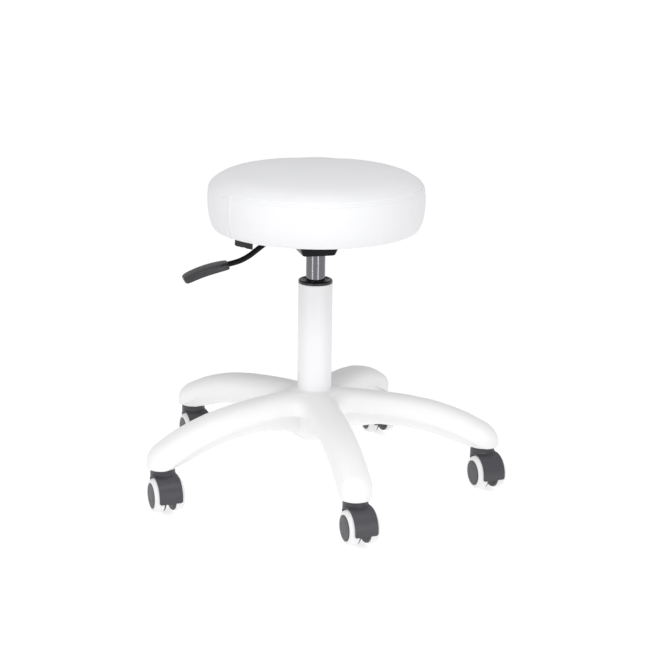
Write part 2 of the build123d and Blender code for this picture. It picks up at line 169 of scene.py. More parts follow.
def contour(f, lo, hi, h, relax=2, lam=0.06):
    """A quad mesh of f = 0 (negative inside) that keeps sharp edges. Dual contouring on a grid of step h."""
    lo, hi = np.array(lo, float), np.array(hi, float)
    n = np.ceil((hi - lo) / h).astype(int) + 1
    ax = [lo[k] + h * np.arange(n[k]) for k in range(3)]
    V = np.empty(tuple(n), np.float32)
    for i in range(0, n[0], 10):
        X, Y, Z = np.meshgrid(ax[0][i:i + 10], ax[1], ax[2], indexing="ij")
        V[i:i + 10] = f(X, Y, Z)
    V[V == 0] = 1e-6
    cells = n - 1
    stride = np.array([cells[1] * cells[2], cells[2], 1])

    def grad(p, e):
        g = np.stack([f(p[:, 0] + e, p[:, 1], p[:, 2]) - f(p[:, 0] - e, p[:, 1], p[:, 2]),
                      f(p[:, 0], p[:, 1] + e, p[:, 2]) - f(p[:, 0], p[:, 1] - e, p[:, 2]),
                      f(p[:, 0], p[:, 1], p[:, 2] + e) - f(p[:, 0], p[:, 1], p[:, 2] - e)], 1) / (2 * e)
        return g

    P, N, C4 = [], [], []
    for k in range(3):
        e = np.zeros(3, int)
        e[k] = 1
        a, b = [slice(None)] * 3, [slice(None)] * 3
        a[k], b[k] = slice(0, -1), slice(1, None)
        A, B = V[tuple(a)], V[tuple(b)]
        idx = np.argwhere((A < 0) != (B < 0))
        others = [i for i in range(3) if i != k]
        ok = np.ones(len(idx), bool)
        for o in others:
            ok &= (idx[:, o] > 0) & (idx[:, o] < n[o] - 1)
        idx = idx[ok]
        fa = A[tuple(idx.T)].astype(float)
        fb = B[tuple(idx.T)].astype(float)
        p0 = lo + h * idx
        t0, t1 = np.zeros(len(idx)), np.ones(len(idx))
        for _ in range(6):
            t = t0 + (t1 - t0) * np.clip(fa / (fa - fb), 0.08, 0.92)
            p = p0 + t[:, None] * e * h
            ft = f(p[:, 0], p[:, 1], p[:, 2])
            same = (ft < 0) == (fa < 0)
            t0, fa = np.where(same, t, t0), np.where(same, ft, fa)
            t1, fb = np.where(same, t1, t), np.where(same, fb, ft)
        t = t0 + (t1 - t0) * fa / (fa - fb)
        p = p0 + t[:, None] * e * h
        g = grad(p, 0.02 * h)
        g /= np.maximum(np.linalg.norm(g, axis=1), 1e-9)[:, None]
        o1, o2 = np.zeros(3, int), np.zeros(3, int)
        o1[others[0]] = 1
        o2[others[1]] = 1
        c = np.stack([(idx - s1 * o1 - s2 * o2) @ stride for s1, s2 in ((0, 0), (1, 0), (1, 1), (0, 1))], 1)
        P.append(p)
        N.append(g)
        C4.append(c)
    P, N, C4 = np.vstack(P), np.vstack(N), np.vstack(C4)
    ids, inv = np.unique(C4.ravel(), return_inverse=True)
    src = np.repeat(np.arange(len(P)), 4)
    m = len(ids)
    cnt = np.bincount(inv, minlength=m).astype(float)
    mass = np.stack([np.bincount(inv, weights=P[src, k], minlength=m) for k in range(3)], 1) / cnt[:, None]
    nn = N[src]
    d = np.einsum("ij,ij->i", nn, P[src] - mass[inv])
    ATA = np.zeros((m, 3, 3))
    ATb = np.zeros((m, 3))
    for i in range(3):
        ATb[:, i] = np.bincount(inv, weights=nn[:, i] * d, minlength=m)
        for j in range(i, 3):
            ATA[:, i, j] = ATA[:, j, i] = np.bincount(inv, weights=nn[:, i] * nn[:, j], minlength=m)
    mean_n = np.stack([np.bincount(inv, weights=nn[:, k], minlength=m) for k in range(3)], 1) / cnt[:, None]
    flat = np.linalg.norm(mean_n, axis=1)
    lam_v = lam * cnt
    x = np.linalg.solve(ATA + lam_v[:, None, None] * np.eye(3) * 0.25, ATb[:, :, None])[:, :, 0]
    cell_lo = lo + h * np.stack([ids // stride[0], (ids // stride[1]) % cells[1], ids % cells[2]], 1)
    verts = np.clip(mass + x, cell_lo - 0.05 * h, cell_lo + 1.05 * h)
    quads = inv.reshape(-1, 4)
    q = verts[quads]
    fn = np.cross(q[:, 2] - q[:, 0], q[:, 3] - q[:, 1])
    flip = np.einsum("ij,ij->i", fn, N) < 0
    quads[flip] = quads[flip][:, ::-1]
    smooth = flat > 0.965
    for _ in range(relax):
        acc = np.zeros_like(verts)
        w = np.zeros(m)
        for a, b in ((0, 1), (1, 2), (2, 3), (3, 0)):
            for s, t in ((a, b), (b, a)):
                for k in range(3):
                    acc[:, k] += np.bincount(quads[:, s], weights=verts[quads[:, t], k], minlength=m)
                w += np.bincount(quads[:, s], minlength=m)
        target = acc / np.maximum(w, 1)[:, None]
        moved = verts + 0.6 * (target - verts)
        for _ in range(2):
            g = grad(moved, 0.05 * h)
            fv = f(moved[:, 0], moved[:, 1], moved[:, 2])
            g2 = np.maximum(np.einsum("ij,ij->i", g, g), 0.05)
            step = g * (fv / g2)[:, None]
            ln = np.linalg.norm(step, axis=1)
            step *= np.minimum(1, 0.5 * h / np.maximum(ln, 1e-9))[:, None]
            moved = moved - step
        verts = np.where(smooth[:, None], moved, verts)
    return verts, quads.tolist()


def smooth_table(table, lo, hi, sigma):
    xs = np.arange(lo - 4 * sigma, hi + 4 * sigma, 0.5)
    tx, ty = np.array(table, float).T
    ys = np.interp(xs, tx, ty)
    left = xs < tx[0]
    ys[left] = ty[0] + (ty[1] - ty[0]) / (tx[1] - tx[0]) * (xs[left] - tx[0])
    right = xs > tx[-1]
    ys[right] = ty[-1] + (ty[-1] - ty[-2]) / (tx[-1] - tx[-2]) * (xs[right] - tx[-1])
    k = np.arange(-int(6 * sigma), int(6 * sigma) + 1) * 0.5
    g = np.exp(-k * k / (2 * sigma * sigma))
    g /= g.sum()
    pad = len(k) // 2
    yp = np.concatenate([2 * ys[0] - ys[1:pad + 1][::-1], ys, 2 * ys[-1] - ys[-pad - 1:-1][::-1]])
    return xs, np.convolve(yp, g, "valid")


# =====================================================================================
# materials
# =====================================================================================
MATS = {}


class Nodes:
    """A small builder for a Principled material whose colour, roughness and bump come from procedural nodes."""

    def __init__(self, name):
        self.mat = bpy.data.materials.new(name)
        self.mat.use_nodes = True
        self.nt = self.mat.node_tree
        self.nt.nodes.clear()
        self.out = self.add("ShaderNodeOutputMaterial")
        self.bsdf = self.add("ShaderNodeBsdfPrincipled")
        self.nt.links.new(self.bsdf.outputs[0], self.out.inputs[0])
        self.coord = self.add("ShaderNodeTexCoord").outputs["Object"]

    def add(self, kind, **props):
        n = self.nt.nodes.new(kind)
        for k, v in props.items():
            setattr(n, k, v)
        return n

    def link(self, a, b):
        self.nt.links.new(a, b)

    def set(self, **values):
        for k, v in values.items():
            self.bsdf.inputs[k.replace("_", " ")].default_value = v

    def mapping(self, scale, source=None):
        m = self.add("ShaderNodeMapping")
        m.inputs["Scale"].default_value = scale if hasattr(scale, "__len__") else (scale,) * 3
        self.link(source or self.coord, m.inputs["Vector"])
        return m.outputs[0]

    def noise(self, scale, detail=3.0, rough=0.55, vec=None, distortion=0.0):
        n = self.add("ShaderNodeTexNoise")
        n.inputs["Scale"].default_value = scale
        n.inputs["Detail"].default_value = detail
        n.inputs["Roughness"].default_value = rough
        n.inputs["Distortion"].default_value = distortion
        self.link(vec or self.coord, n.inputs["Vector"])
        return n.outputs["Fac"] if "Fac" in n.outputs else n.outputs[0]

    def voronoi(self, scale, feature="F1", vec=None, randomness=1.0, smoothness=None):
        n = self.add("ShaderNodeTexVoronoi", feature=feature)
        n.inputs["Scale"].default_value = scale
        n.inputs["Randomness"].default_value = randomness
        if smoothness is not None and "Smoothness" in n.inputs:
            n.inputs["Smoothness"].default_value = smoothness
        self.link(vec or self.coord, n.inputs["Vector"])
        return n.outputs["Distance"]

    def ramp(self, fac, lo, hi, a=(0, 0, 0, 1), b=(1, 1, 1, 1)):
        n = self.add("ShaderNodeValToRGB")
        n.color_ramp.elements[0].position = lo
        n.color_ramp.elements[1].position = hi
        n.color_ramp.elements[0].color = a
        n.color_ramp.elements[1].color = b
        self.link(fac, n.inputs["Fac"])
        return n.outputs["Color"]

    def range(self, fac, lo, hi, to_lo, to_hi):
        n = self.add("ShaderNodeMapRange")
        for i, v in enumerate((lo, hi, to_lo, to_hi)):
            n.inputs[i + 1].default_value = v
        self.link(fac, n.inputs[0])
        return n.outputs[0]

    def math(self, op, a, b=None):
        n = self.add("ShaderNodeMath", operation=op)
        for i, v in enumerate((a, b)):
            if v is None:
                continue
            if isinstance(v, (int, float)):
                n.inputs[i].default_value = v
            else:
                self.link(v, n.inputs[i])
        return n.outputs[0]

    def mix(self, fac, a, b):
        n = self.add("ShaderNodeMix", data_type="RGBA")
        for i, v in ((0, fac), (6, a), (7, b)):
            if hasattr(v, "is_output"):
                self.link(v, n.inputs[i])
            else:
                n.inputs[i].default_value = v
        return n.outputs[2]

    def bump(self, height, strength, distance, normal=None):
        n = self.add("ShaderNodeBump")
        n.inputs["Strength"].default_value = strength
        n.inputs["Distance"].default_value = distance
        self.link(height, n.inputs["Height"])
        if normal is not None:
            self.link(normal, n.inputs["Normal"])
        return n.outputs[0]

    def edges(self):
        """0..1 on convex edges, from the mesh's own curvature."""
        g = self.add("ShaderNodeNewGeometry")
        return self.range(g.outputs["Pointiness"], 0.53, 0.62, 0.0, 1.0)

    def finish(self, colour, rough, normal=None):
        self.link(colour, self.bsdf.inputs["Base Color"])
        self.link(rough, self.bsdf.inputs["Roughness"])
        if normal is not None:
            self.link(normal, self.bsdf.inputs["Normal"])
        return self.mat


def rgb(r, g, b):
    return (r, g, b, 1.0)


def moulded(name, base, shade, edge, rough=(0.35, 0.5), grain=900.0, grain_depth=0.00006, strength=0.35, spec=0.5, wear=0.35, coat=0.0):
    """Moulded plastic: a fine spark-eroded grain, faint flow shading and slightly polished edges."""
    m = Nodes(name)
    broad = m.noise(9.0, 3.0, 0.5)
    fine = m.noise(260.0, 4.0, 0.6)
    tone = m.mix(m.range(broad, 0.3, 0.7, 0.0, 1.0), base, shade)
    tone = m.mix(m.range(fine, 0.35, 0.75, 0.0, 0.25), tone, shade)
    scuff = m.noise(55.0, 6.0, 0.7, distortion=0.6)
    worn = m.math("MULTIPLY", m.edges(), m.range(scuff, 0.42, 0.62, 0.0, wear))
    colour = m.mix(worn, tone, edge)
    r = m.range(m.noise(38.0, 5.0, 0.65), 0.25, 0.75, rough[0], rough[1])
    g1 = m.voronoi(grain, "SMOOTH_F1", smoothness=0.6)
    g2 = m.noise(grain * 0.45, 3.0, 0.6)
    n = m.bump(m.math("ADD", g1, m.math("MULTIPLY", g2, 0.8)), strength, grain_depth)
    n = m.bump(m.noise(14.0, 2.0, 0.5), 0.12, 0.0006, n)
    m.set(Specular_IOR_Level=spec, Coat_Weight=coat, Coat_Roughness=0.12)
    return m.finish(colour, r, n)


def leatherette(name, base, shade, crease_shade):
    """Upholstery vinyl: pebbled grain with fine creases between the pebbles, and a soft satin sheen. The recessed
    borders between pebbles and the creases are darkened in the colour, which is painted shade.
    """
    m = Nodes(name)
    warp = m.noise(34.0, 3.0, 0.5)
    cells = m.voronoi(760.0, "SMOOTH_F1", smoothness=0.55)
    small = m.voronoi(1900.0, "F1")
    creases = m.noise(230.0, 5.0, 0.62, distortion=1.1)
    broad = m.noise(7.0, 3.0, 0.5)
    tone = m.mix(m.range(broad, 0.3, 0.7, 0.0, 1.0), base, shade)
    # painted shade: the recessed pebble borders and the creases are mixed towards a darker colour
    tone = m.mix(m.range(cells, 0.35, 0.75, 0.0, 0.12), tone, crease_shade)
    tone = m.mix(m.range(creases, 0.60, 0.74, 0.0, 0.10), tone, crease_shade)
    r = m.math("ADD", m.range(m.noise(18.0, 4.0, 0.6), 0.25, 0.75, 0.46, 0.58), m.range(cells, 0.2, 0.7, 0.0, 0.08))
    height = m.math("ADD", m.math("MULTIPLY", cells, -1.0), m.math("ADD", m.math("MULTIPLY", small, -0.25), m.math("MULTIPLY", creases, 0.7)))
    n = m.bump(height, 0.30, 0.00012)
    n = m.bump(warp, 0.18, 0.0010, n)
    m.set(Specular_IOR_Level=0.30, Sheen_Weight=0.06, Sheen_Roughness=0.5)
    return m.finish(tone, r, n)


def painted(name, base, shade, rough=(0.24, 0.31), peel=0.00006, coat=0.35, spec=0.5):
    """Powder-coated metal: gloss with a fine orange peel."""
    m = Nodes(name)
    broad = m.noise(10.0, 3.0, 0.5)
    tone = m.mix(m.range(broad, 0.3, 0.7, 0.0, 1.0), base, shade)
    tone = m.mix(m.math("MULTIPLY", m.edges(), 0.10), tone, shade)
    r = m.range(m.noise(60.0, 4.0, 0.6), 0.25, 0.75, rough[0], rough[1])
    n = m.bump(m.noise(420.0, 2.0, 0.45), 0.25, peel)
    m.set(Specular_IOR_Level=spec, Coat_Weight=coat, Coat_Roughness=0.10)
    return m.finish(tone, r, n)


def metal(name, base, shade, rough=(0.16, 0.3), turned=0.0, anis=0.0, scratch=0.3, along=(1.0, 1.0, 40.0)):
    """Bare, plated or turned metal: fine machining lines, small scratches and cloudy patches."""
    m = Nodes(name)
    lines = m.noise(300.0, 3.0, 0.6, m.mapping(along))
    clouds = m.noise(22.0, 4.0, 0.6)
    fine = m.noise(900.0, 3.0, 0.6, m.mapping((1.0, 1.0, 0.12)))
    tone = m.mix(m.range(clouds, 0.3, 0.72, 0.0, 1.0), base, shade)
    tone = m.mix(m.range(lines, 0.45, 0.8, 0.0, 0.35), tone, shade)
    r = m.math("ADD", m.range(clouds, 0.3, 0.75, rough[0], rough[1]), m.range(lines, 0.4, 0.8, 0.0, 0.07))
    n = m.bump(m.math("ADD", m.math("MULTIPLY", lines, 1.0), m.math("MULTIPLY", fine, scratch)), 0.12 + turned, 0.00005)
    m.set(Metallic=1.0, Anisotropic=anis)
    if anis:
        t = m.add("ShaderNodeTangent", direction_type="RADIAL", axis="Z")
        m.link(t.outputs[0], m.bsdf.inputs["Tangent"])
    return m.finish(tone, r, n)


def woven(name, base, shade, pitch=900.0):
    """A thin woven or spun-bonded cloth."""
    m = Nodes(name)
    w1 = m.add("ShaderNodeTexWave", wave_type="BANDS", bands_direction="X")
    w2 = m.add("ShaderNodeTexWave", wave_type="BANDS", bands_direction="Y")
    for w in (w1, w2):
        w.inputs["Scale"].default_value = pitch / 6.0
        w.inputs["Distortion"].default_value = 0.6
        w.inputs["Detail"].default_value = 1.0
        m.link(m.coord, w.inputs["Vector"])
    weave = m.math("MULTIPLY", w1.outputs["Fac"], w2.outputs["Fac"])
    fibres = m.noise(500.0, 4.0, 0.7)
    tone = m.mix(m.range(weave, 0.1, 0.8, 0.0, 1.0), shade, base)
    tone = m.mix(m.range(fibres, 0.4, 0.7, 0.0, 0.4), tone, shade)
    r = m.range(fibres, 0.3, 0.7, 0.8, 0.95)
    n = m.bump(m.math("ADD", weave, m.math("MULTIPLY", fibres, 0.6)), 0.5, 0.00025)
    m.set(Specular_IOR_Level=0.2, Sheen_Weight=0.15, Sheen_Roughness=0.6)
    return m.finish(tone, r, n)


def wood(name):
    """Rotary-cut birch plywood with its ply edges."""
    m = Nodes(name)
    grain = m.noise(26.0, 6.0, 0.62, m.mapping((1.0, 14.0, 1.0)), distortion=0.8)
    pores = m.noise(240.0, 3.0, 0.7, m.mapping((1.0, 9.0, 1.0)))
    ply = m.add("ShaderNodeTexWave", wave_type="BANDS", bands_direction="Z")
    ply.inputs["Scale"].default_value = 130.0
    ply.inputs["Distortion"].default_value = 0.15
    m.link(m.coord, ply.inputs["Vector"])
    tone = m.mix(m.range(grain, 0.3, 0.72, 0.0, 1.0), rgb(0.52, 0.36, 0.20), rgb(0.38, 0.24, 0.12))
    tone = m.mix(m.range(pores, 0.55, 0.8, 0.0, 0.5), tone, rgb(0.24, 0.14, 0.07))
    tone = m.mix(m.math("MULTIPLY", ply.outputs["Fac"], 0.22), tone, rgb(0.27, 0.16, 0.08))
    n = m.bump(m.math("ADD", grain, pores), 0.3, 0.0003)
    return m.finish(tone, m.range(grain, 0.3, 0.7, 0.62, 0.8), n)


WHITE_NYLON = moulded("white_nylon", rgb(0.895, 0.895, 0.893), rgb(0.875, 0.875, 0.873), rgb(0.92, 0.92, 0.92), (0.40, 0.54), 800.0, 0.00007, 0.35, 0.42, 0.3)
WHITE_PAINT = painted("white_paint", rgb(0.885, 0.886, 0.893), rgb(0.877, 0.878, 0.885), (0.36, 0.40), 0.00002, 0.08, 0.32)
BLACK_PLASTIC = moulded("black_plastic", rgb(0.012, 0.012, 0.013), rgb(0.018, 0.018, 0.020), rgb(0.05, 0.05, 0.052), (0.24, 0.36), 1100.0, 0.00004, 0.3, 0.5, 0.5)
LEVER_PLASTIC = moulded("lever_plastic", rgb(0.016, 0.016, 0.018), rgb(0.024, 0.024, 0.027), rgb(0.07, 0.07, 0.075), (0.34, 0.46), 1000.0, 0.00007, 0.45, 0.5, 0.6)
BLACK_STEEL = painted("black_steel", rgb(0.008, 0.008, 0.009), rgb(0.014, 0.014, 0.016), (0.20, 0.30), 0.00010, 0.03, 0.05)
GREY_PLASTIC = moulded("grey_plastic", rgb(0.046, 0.044, 0.051), rgb(0.060, 0.057, 0.065), rgb(0.14, 0.14, 0.15), (0.36, 0.48), 1000.0, 0.00009, 0.5, 0.5, 0.5)
WHITE_TREAD = moulded("white_tread", rgb(0.84, 0.84, 0.84), rgb(0.79, 0.79, 0.79), rgb(0.76, 0.76, 0.76), (0.38, 0.52), 700.0, 0.00008, 0.4, 0.45, 0.5)
LEATHERETTE = leatherette("white_leatherette", rgb(0.780, 0.781, 0.790), rgb(0.757, 0.758, 0.768), rgb(0.68, 0.68, 0.69))
THREAD = woven("seam_thread", rgb(0.82, 0.82, 0.83), rgb(0.66, 0.66, 0.68), 2400.0)
CHROME = metal("chrome", rgb(0.170, 0.170, 0.182), rgb(0.150, 0.150, 0.161), (0.10, 0.15), 0.05, 0.75)
STEEL = metal("steel", rgb(0.50, 0.50, 0.51), rgb(0.36, 0.36, 0.37), (0.26, 0.42), 0.3)
RUBBER = moulded("buffer_rubber", rgb(0.020, 0.020, 0.020), rgb(0.032, 0.031, 0.030), rgb(0.06, 0.06, 0.06), (0.6, 0.78), 600.0, 0.00012, 0.5, 0.35, 0.4)
GLAND = moulded("gland_plastic", rgb(0.10, 0.10, 0.105), rgb(0.14, 0.14, 0.145), rgb(0.2, 0.2, 0.2), (0.4, 0.55))
PLY = wood("plywood")
DUST = woven("black_cloth", rgb(0.020, 0.020, 0.022), rgb(0.008, 0.008, 0.009), 700.0)
TAG = woven("tag_cloth", rgb(0.022, 0.022, 0.024), rgb(0.010, 0.010, 0.011), 2600.0)

SLOT_MAT = {"white_nylon": WHITE_NYLON, "white_paint": WHITE_PAINT, "black_plastic": BLACK_PLASTIC, "steel": STEEL,
            "buffer_rubber": RUBBER, "chrome": CHROME, "gland_plastic": GLAND, "black_steel": BLACK_STEEL, "plywood": PLY,
            "white_leatherette": LEATHERETTE, "black_cloth": DUST, "grey_plastic": GREY_PLASTIC, "white_tread": WHITE_TREAD}


def dress(ob, mat, body, slot, *nodes):
    ob.data.materials.clear()
    ob.data.materials.append(mat)
    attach(ob, body)
    if nodes:
        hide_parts(*nodes)
    return ob


# every CAD node gets the finish of its slot; the ones shown as they are keep it
NODE_SLOT = {}
for entry in frame["record"]["subparts"]:
    NODE_SLOT[entry["node"]] = entry["material_slot"]
for name, ob in NODES.items():
    mat = SLOT_MAT.get(NODE_SLOT.get(name), STEEL)
    ob.data.materials.clear()
    ob.data.materials.append(mat)
    ob.data.polygons.foreach_set("use_smooth", np.ones(len(ob.data.polygons), bool))
    ob.data.set_sharp_from_angle(angle=math.radians(30))

# =====================================================================================
# star base
# =====================================================================================
ARM_TOP = [(20, 139.6), (34, 139.8), (60, 139.9), (97, 137.1), (135, 133.1), (174, 126.1), (203, 117.6),
           (227, 108.3), (249, 97.0), (257, 93.0), (263.6, 89.8), (268, 88.1), (273, 86.3)]
ARM_SKIN = [(20, 104.0), (58, 110.8), (97, 110.3), (135, 106.4), (174, 96.9), (208, 85.5),
            (237, 71.5), (254, 61.4), (273, 61.2)]
ARM_RIB = [(20, 74.0), (45, 82.0), (58, 86.4), (97, 91.6), (135, 88.9), (174, 81.1),
           (208, 69.3), (234, 60.8), (262, 60.8)]
ARM_W, RIB_W, TIP_L, SWIVEL_R = 23.0, 14.3, 23.0, 250.0
first = JOINTS["caster_swivel_a"]["pos_m"]
ARM0 = math.atan2(first[1], first[0])
T_TOP = smooth_table(ARM_TOP, 0, 290, 5.0)
T_SKIN = smooth_table(ARM_SKIN, 0, 290, 4.0)
T_RIB = smooth_table(ARM_RIB, 0, 290, 3.0)


def star(x, y, z):
    R = np.hypot(x, y)
    th = np.arctan2(y, x) - ARM0
    sector = 2 * math.pi / 5
    psi = np.abs((th + sector / 2) % sector - sector / 2)
    r0, a0 = R * np.cos(psi), R * np.sin(psi)
    psi1 = sector - psi
    r1, a1 = R * np.cos(psi1), R * np.sin(psi1)

    def lateral(r, a):
        tip = ARM_W * np.hypot(a / ARM_W, np.maximum(r - SWIVEL_R, 0) / TIP_L)
        return np.hypot(tip, np.minimum(r, 0))

    q = smin(lateral(r0, a0), lateral(r1, a1), 32.0)
    zt = np.interp(R, *T_TOP)
    zb = np.interp(R, *T_SKIN)
    c = 19.0
    # rounded cap of the arms
    u = np.maximum(q, 0) / ARM_W
    v = np.maximum(z - (zt - c), 0) / c
    pu, pv = 2.4, 2.2
    F = u ** pu + v ** pv - 1
    G = np.hypot(pu * u ** (pu - 1) / ARM_W, pv * v ** (pv - 1) / c)
    cap = F / np.maximum(G, 0.05)
    cap = rounded(cap, zb - z, 0.8)
    # rib box under the cap
    hw = RIB_W - 0.02 * (zb - z)
    zr = np.interp(np.minimum(r0, 262), *T_RIB)
    rib = rounded(np.maximum(a0 - hw, r0 - 262), zr - z, 1.6)
    rib = np.maximum(rib, z - (zb + 5))
    body = np.minimum(cap, rib)
    # hub drum under the cap, and the end boss over each caster
    drum = rounded(R - 33.0, 71.5 - z, 1.5)
    drum = np.maximum(drum, z - 120)
    body = np.minimum(body, smin(drum, body, 3.0))
    boss = rounded(np.hypot(r0 - SWIVEL_R, a0) - 19.5, 60.8 - z, 1.0)
    boss = np.maximum(boss, z - 74.3)
    body = np.minimum(body, boss)
    # flared collar against the column
    flare = np.maximum(R - 25.0, 0)
    zc = 138.6 + 3.4 * np.exp(-flare / 2.4)
    collar = np.maximum(np.maximum(R - 36.0, z - zc) * 0.8, 120 - z)
    body = smin(body, collar, 2.0)
    # pockets between the cross ribs
    for ra, rb in ((46, 94), (98, 142), (146, 186), (190, 222)):
        pocket = rounded(a0 - 11.0, np.maximum(ra - r0, r0 - rb), 2.0)
        pocket = rounded(pocket, z - (zt - 7.0), 2.0)
        body = np.maximum(body, -pocket)
    # column bore, open underneath, and the sockets for the caster sleeves
    bore = R - (24.0 + (z - 66.0) / 74.0)
    body = np.maximum(body, -bore)
    socket = np.maximum(np.hypot(r0 - SWIVEL_R, a0) - 6.95, z - 85.0)
    body = np.maximum(body, -socket)
    return body


lo, hi = mm_box("star_base")
STAR_STEP = 2.2
star_v, star_f = contour(star, lo - 4, hi + 4, STAR_STEP)
star_ob = make_object("base_star", star_v, star_f, 32.0)
dress(star_ob, WHITE_NYLON, "base", "white_nylon", "star_base")

# =====================================================================================
# column, guide bush and gas cylinder
# =====================================================================================
lo, hi = mm_box("column_tube")
tube_top, tube_bottom = hi[2], lo[2]
tube_r = hi[0]
v, f = lathe(fillet([(24.0, tube_bottom), (24.0, tube_bottom + 0.1), (tube_r, 139.6), (tube_r, tube_top, 0.7), (tube_r - 1.8, tube_top, 0.4), (tube_r - 1.8, 139.6),
                     (22.2, tube_bottom + 0.1), (22.2, tube_bottom)]), 160)
tube_ob = outward(make_object("column_sleeve", v, f))
dress(tube_ob, WHITE_PAINT, "base", "white_paint", "column_tube")

lo, hi = mm_box("guide_bush")
zb0, zb1 = lo[2], hi[2]
t = tube_top
br = hi[0]
v, f = lathe(fillet([(14.05, zb0), (22.0, zb0, 0.8), (23.2, zb0 + 1.2, 0.8), (23.2, t - 0.0), (br, t - 0.0, 0.2), (br, zb1 - 1.7, 0.9), (br - 1.0, zb1 - 0.5, 0.6), (br - 2.7, zb1, 0.9),
                     (19.9, zb1 - 0.5, 0.6), (18.5, zb1 - 1.6, 0.8), (16.3, zb1 - 1.6, 0.5), (15.3, zb1 - 0.4, 0.5), (14.05, zb1 - 0.4)]), 128)
bush_ob = outward(make_object("collar_bush", v, f))
dress(bush_ob, BLACK_PLASTIC, "base", "black_plastic", "guide_bush")

lo, hi = mm_box("gas_cylinder")
z0, z1 = lo[2], hi[2]
v, f = lathe(fillet([(12.4, z0), (13.5, z0, 0.3), (14.0, z0 + 1.0, 0.4), (14.0, 343.0), (13.9, 345.0), (13.4, z1, 0.5), (3.05, z1), (3.05, 344.0), (4.4, 344.0),
                     (4.4, 338.0), (12.4, 338.0)]), 128)
gas_ob = outward(make_object("gas_spring_tube", v, f))
dress(gas_ob, CHROME, "seat", "chrome", "gas_cylinder")

# =====================================================================================
# casters
# =====================================================================================
AX, AZ = 15.5, 25.0


def hood_field(x, y, z):
    rho = np.hypot(x - AX, z - AZ)
    th = np.degrees(np.arctan2(z - AZ, x - AX))
    th = np.where(th < -100, th + 360, th)
    ay = np.abs(y)
    # fender: a curved plate in its unrolled outline
    mid, half = (-13.5 + 140) / 2, (140 + 13.5) / 2
    arc = np.radians(np.abs(th - mid) - half) * 26.5
    plate = rounded(arc, ay - 17.0, 3.4)
    skin = np.maximum(rho - 27.2, 25.7 - rho)
    fender = rounded(plate, skin, 0.55)
    # neck
    neck = rounded(np.hypot(x, y) - 17.75, z - 60.3, 0.7)
    neck = np.maximum(neck, 38.0 - z)
    body = smin(fender, neck, 4.0)
    hollow = rounded(rho - 25.7, 4.8 - ay, 0.6)
    body = np.maximum(body, -hollow)
    # centre web
    wmid, whalf = (-10 + 185) / 2, (185 + 10) / 2
    warc = np.radians(np.abs(th - wmid) - whalf) * 20.0
    web = np.maximum(np.maximum(warc, rho - 26.6), ay - 4.8)
    hubr = np.maximum(rho - 9.0, ay - 4.8)
    web = smin(web, hubr, 2.0)
    web = np.maximum(web, ay - 4.8)
    body = np.minimum(body, web)
    # lightening pockets either side of the web
    pocket = np.maximum(np.maximum(np.abs(rho - 16.5) - 4.5, 2.2 - ay), np.abs(((th + 18) % 34) - 17) * np.radians(1) * 16.5 - 3.6)
    pocket = np.maximum(pocket, th - 175)
    pocket = np.maximum(pocket, -4 - th)
    body = np.maximum(body, -np.maximum(pocket, 2.2 - ay))
    # axle bore and stem bore
    body = np.maximum(body, 3.0 - rho)
    sr = np.hypot(x, y)
    body = np.maximum(body, -np.maximum(sr - 5.05, 47.0 - z))
    body = np.maximum(body, -np.maximum(sr - 8.3, 59.2 - z))
    return body


HOOD_STEP = 0.8
hood_v, hood_f = contour(hood_field, (-20, -19.6, -5.2), (46, 19.6, 63), HOOD_STEP)

# one wheel, turned about Z with its height measured out from the caster's middle
core_prof = fillet([(3.05, 5.6), (6.8, 5.6, 0.3), (7.2, 6.0, 0.3), (16.4, 6.0, 0.3), (16.8, 5.6, 0.3), (22.4, 5.6, 0.9), (23.6, 6.8, 0.6), (23.6, 8.4),
                    (18.2, 8.4), (18.2, 21.7, 0.3), (17.7, 22.1, 0.3), (17.2, 22.05, 0.2), (16.95, 21.7, 0.15), (16.6, 21.7, 0.15), (16.3, 22.2, 0.3), (13.0, 22.45),
                    (10.2, 22.55, 0.2), (9.95, 22.35, 0.2), (9.6, 22.35, 0.2), (9.3, 22.6, 0.2), (6.0, 22.65), (0.0, 22.7), (0.0, 19.3), (3.05, 19.3)], 3)
tread_prof = fillet([(18.22, 8.42), (23.62, 8.42), (24.4, 8.9, 0.5), (24.95, 10.6, 2.0), (25.0, 13.4, 3.0), (24.7, 16.2, 3.5), (23.7, 19.0, 3.0),
                     (22.0, 21.2, 2.2), (20.0, 22.1, 1.0), (18.6, 22.05, 0.3), (18.22, 21.6)], 4)
core_v, core_f = lathe(core_prof, 96)
tread_v, tread_f = lathe(tread_prof, 96)

